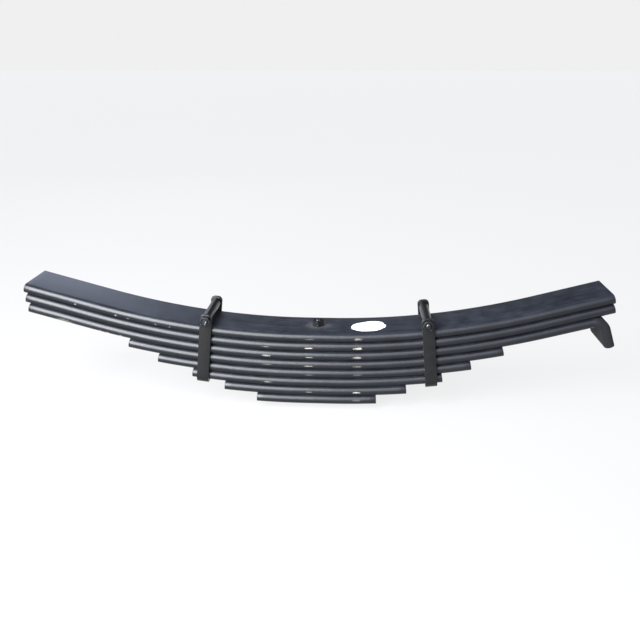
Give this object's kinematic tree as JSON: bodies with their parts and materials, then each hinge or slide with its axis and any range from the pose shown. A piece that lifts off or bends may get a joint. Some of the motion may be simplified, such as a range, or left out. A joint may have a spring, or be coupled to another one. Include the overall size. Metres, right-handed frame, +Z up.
{
  "type": "leaf spring",
  "caption": "Curved multi-leaf slipper spring with stepped leaves, a hooked third leaf, a centre bolt and two bolted rebound clips.",
  "frame": {"origin": "on the centre bolt's axis, at the underside of the lowest leaf, the plane that seats on the axle", "axes": "+X along the spring towards the hooked end, +Y across the leaves, +Z up out of the clamped pack, so both ends curve up"},
  "size_m": [0.98, 0.1199, 0.2197],
  "materials": {
    "spring_paint": "dark blue-grey satin paint on spring steel",
    "clip_paint": "charcoal matt paint on mild steel",
    "fastener_steel": "blackened steel, worn bright at the thread end",
    "rivet_steel": "painted over with the clip"
  },
  "bodies": {
    "spring_pack": {"leaf_1": "spring_paint", "leaf_2": "spring_paint", "leaf_3": "spring_paint", "leaf_4": "spring_paint", "leaf_5": "spring_paint", "leaf_6": "spring_paint", "leaf_7": "spring_paint", "leaf_8": "spring_paint", "centre_bolt": "fastener_steel", "centre_nut": "fastener_steel"},
    "left_clip": {"left_clip_strap": "clip_paint", "left_clip_bolt": "fastener_steel", "left_clip_nut": "fastener_steel", "left_clip_spacer": "clip_paint", "left_clip_rivet": "rivet_steel"},
    "right_clip": {"right_clip_strap": "clip_paint", "right_clip_bolt": "fastener_steel", "right_clip_nut": "fastener_steel", "right_clip_spacer": "clip_paint", "right_clip_rivet": "rivet_steel"}
  },
  "joints": [
    {"name": "left_flex", "type": "hinge", "parent": "spring_pack", "child": "left_clip", "pos_m": [-0.11, 0, 0.06505], "axis": [0, -1, 0], "range_deg": [0, 7], "stiffness_Nm_per_rad": 2000, "deforming": ["leaf_1", "leaf_2", "leaf_3", "leaf_4", "leaf_5", "leaf_6", "leaf_7"]},
    {"name": "right_flex", "type": "hinge", "parent": "spring_pack", "child": "right_clip", "pos_m": [0.11, 0, 0.06505], "axis": [0, 1, 0], "range_deg": [0, 7], "stiffness_Nm_per_rad": 2000, "deforming": ["leaf_1", "leaf_2", "leaf_3", "leaf_4", "leaf_5", "leaf_6", "leaf_7"]}
  ]
}
